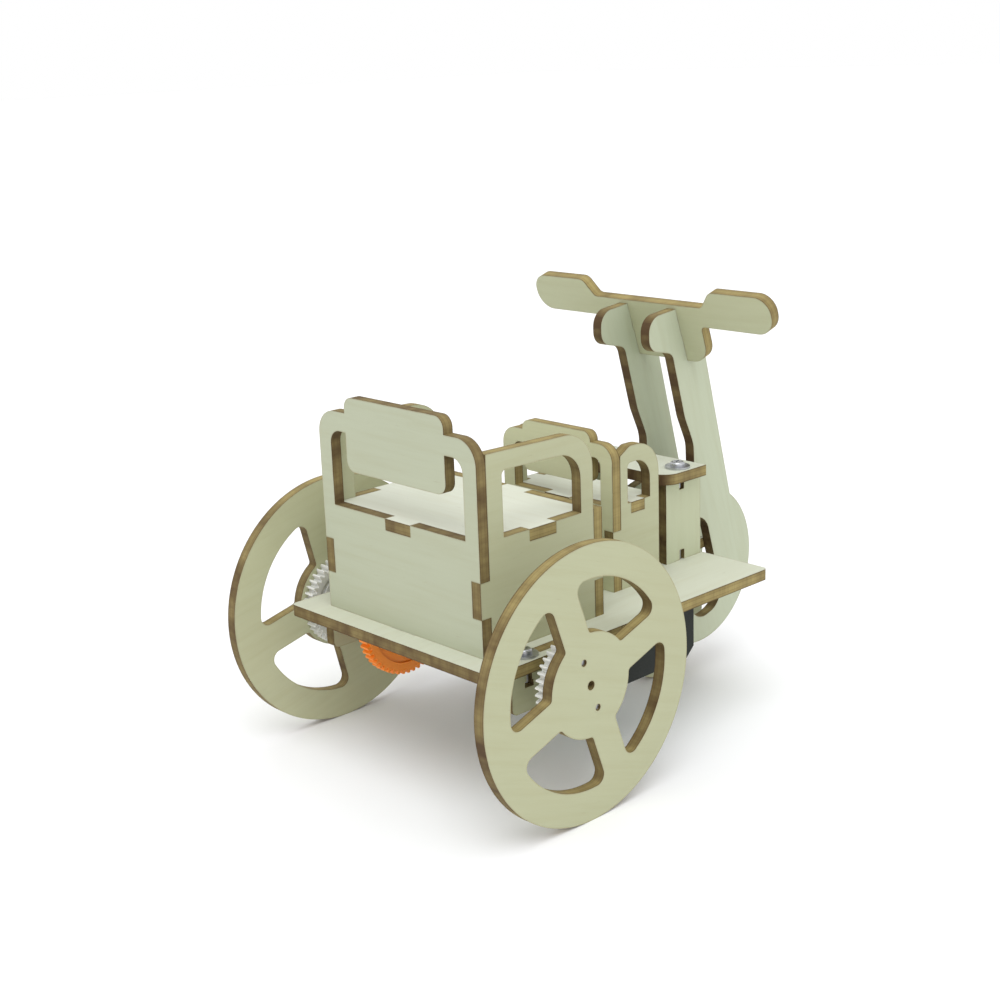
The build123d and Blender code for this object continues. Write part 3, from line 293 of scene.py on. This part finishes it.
def metal(name, colour, shade, rough, axis=(0, 1, 0), line=0.05, scale=1400, metallic=1.0):
    """Metal with drawn or turned marks that run along axis."""
    t = Tree(name)
    P = t.object_coords()
    ax = Vector(axis).normalized()
    other = Vector((1, 0, 0)) if abs(ax.x) < 0.5 else Vector((0, 1, 0))
    u = ax.cross(other).normalized()
    v = ax.cross(u)
    vec = t_comb(t, t.math("MULTIPLY", t.vmath("DOT_PRODUCT", P, tuple(ax)), line), t.vmath("DOT_PRODUCT", P, tuple(u)), t.vmath("DOT_PRODUCT", P, tuple(v)))
    marks = t.noise(vec, scale, 3.0, 0.6)
    patina = t.noise(P, 210, 3.0, 0.6)
    t.link(t.mix(t.maprange(patina, 0.35, 0.7), colour, shade), t.bsdf.inputs["Base Color"])
    t.link(t.maprange(marks, 0.3, 0.7, rough - 0.06, rough + 0.12), t.bsdf.inputs["Roughness"])
    t.link(t.bump(marks, 0.18, 0.00003), t.bsdf.inputs["Normal"])
    t.bsdf.inputs["Metallic"].default_value = metallic
    return t.m


nylon = plastic("nylon_white", (0.74, 0.74, 0.71), (0.68, 0.68, 0.64), 0.42, 1300, 0.15, subsurface=0.25)
orange = plastic("plastic_orange", (0.92, 0.290, 0.026), (0.86, 0.240, 0.018), 0.38, 1100, 0.15, subsurface=0.15)
black = plastic("plastic_black", (0.0080, 0.0110, 0.0080), (0.0115, 0.0145, 0.0115), 0.58, 2400, 0.45, spec=0.28)
steel = metal("steel_rod", (0.60, 0.60, 0.61), (0.50, 0.50, 0.51), 0.30)
zinc = metal("zinc_plate", (0.50, 0.51, 0.53), (0.40, 0.41, 0.43), 0.34, axis=(0, 0, 1), line=0.6, scale=900)
can = metal("motor_can_steel", (0.55, 0.55, 0.54), (0.47, 0.47, 0.46), 0.34)
spring = metal("spring_steel", (0.50, 0.49, 0.47), (0.42, 0.41, 0.39), 0.36)
brass = metal("turned_brass", (0.68, 0.48, 0.20), (0.58, 0.40, 0.16), 0.32)


def cell_sleeve():
    """Plain two-tone sleeve: green body, copper-coloured band at one end."""
    t = Tree("cell_sleeve")
    P = t.object_coords()
    y = t.vmath("DOT_PRODUCT", P, (0, 1, 0))
    band = t.maprange(y, 0.0155, 0.0157)
    grain = t.noise(P, 700, 2.0, 0.5)
    body = t.mix(t.maprange(grain, 0.35, 0.7), (0.020, 0.105, 0.048), (0.026, 0.125, 0.058))
    t.link(t.mix(band, body, (0.42, 0.22, 0.09)), t.bsdf.inputs["Base Color"])
    t.link(t.maprange(grain, 0.3, 0.7, 0.24, 0.36), t.bsdf.inputs["Roughness"])
    t.link(t.bump(grain, 0.1, 0.00003), t.bsdf.inputs["Normal"])
    return t.m


def give(material, *names):
    for name in names:
        NODES[name].data.materials.clear()
        NODES[name].data.materials.append(material)


give(nylon, "hub_gear_left", "hub_gear_right", "motor_pinion", "motor_end_cap", "front_spacers")
give(orange, "drive_gear")
give(black, "battery_holder", "switch_knob")
give(cell_sleeve(), "battery_cells")
give(steel, "rear_axle", "front_axle")
give(zinc, "hub_screws", "tapping_screws", "washers", "battery_screws", "switch_body")
give(can, "motor_can", "motor_rotor")
give(brass, "motor_bearing")
give(spring, "motor_clip", "battery_contacts")

# ---------------------------------------------------------------------------
# Floor, light and camera
# ---------------------------------------------------------------------------
mesh = bpy.data.meshes.new("floor")
mesh.from_pydata([(-6, -6, 0), (6, -6, 0), (6, 6, 0), (-6, 6, 0)], [], [(0, 1, 2, 3)])
floor = bpy.data.objects.new("floor", mesh)
bpy.context.scene.collection.objects.link(floor)
ft = Tree("floor_paper")
fp = ft.object_coords()
ft.link(ft.mix(ft.maprange(ft.noise(fp, 14, 2.0, 0.5), 0.35, 0.65), (0.860, 0.862, 0.860), (0.875, 0.877, 0.875)), ft.bsdf.inputs["Base Color"])
ft.bsdf.inputs["Roughness"].default_value = 0.95
ft.bsdf.inputs["Specular IOR Level"].default_value = 0.1
mesh.materials.append(ft.m)


def area(name, pos, target, size, power, colour=(1, 1, 1)):
    light = bpy.data.lights.new(name, "AREA")
    light.shape = "DISK"
    light.size = size
    light.energy = power
    light.color = colour
    o = bpy.data.objects.new(name, light)
    bpy.context.scene.collection.objects.link(o)
    o.location = pos
    o.rotation_euler = (Vector(target) - Vector(pos)).to_track_quat("-Z", "Y").to_euler()
    return o


area("fill_left", (-0.95, 0.15, 0.42), (0, 0, 0.04), 0.7, 0.5)
area("fill_right", (0.15, -1.0, 0.45), (0, 0, 0.04), 0.7, 0.8)
sun = bpy.data.lights.new("key", "SUN")
sun.energy = 1.25
sun.angle = 0.75
sun.color = (0.98, 1.0, 1.04)
key = bpy.data.objects.new("key", sun)
bpy.context.scene.collection.objects.link(key)
key.rotation_euler = Vector((0.36, 0.34, -1.0)).to_track_quat("-Z", "Y").to_euler()
world = bpy.data.worlds.new("studio")
bpy.context.scene.world = world
world.use_nodes = True
bg = world.node_tree.nodes["Background"]
bg.inputs["Color"].default_value = (1.0, 1.0, 1.0, 1.0)
bg.inputs["Strength"].default_value = 1.0

yaw, pitch, roll = (math.radians(v) for v in (46.889, 15.884, -2.076))
d = Vector((math.cos(yaw) * math.cos(pitch), math.sin(yaw) * math.cos(pitch), -math.sin(pitch)))
r = d.cross(Vector((0, 0, 1))).normalized()
u = r.cross(d)
r2 = r * math.cos(roll) + u * math.sin(roll)
u2 = -r * math.sin(roll) + u * math.cos(roll)
cam_data = bpy.data.cameras.new("camera")
cam_data.sensor_width = 36.0
cam_data.lens = 58.016
cam_data.shift_x = -0.00073
cam_data.shift_y = 0.00145
cam_data.clip_start = 0.01
cam_data.clip_end = 30.0
camera = bpy.data.objects.new("camera", cam_data)
bpy.context.scene.collection.objects.link(camera)
m = Matrix((r2, u2, -d)).transposed().to_4x4()
m.translation = Vector((-0.261300, -0.261569, 0.161354))
camera.matrix_world = m
bpy.context.scene.camera = camera
bpy.context.scene.view_settings.view_transform = "Standard"
bpy.context.scene.view_settings.look = "None"
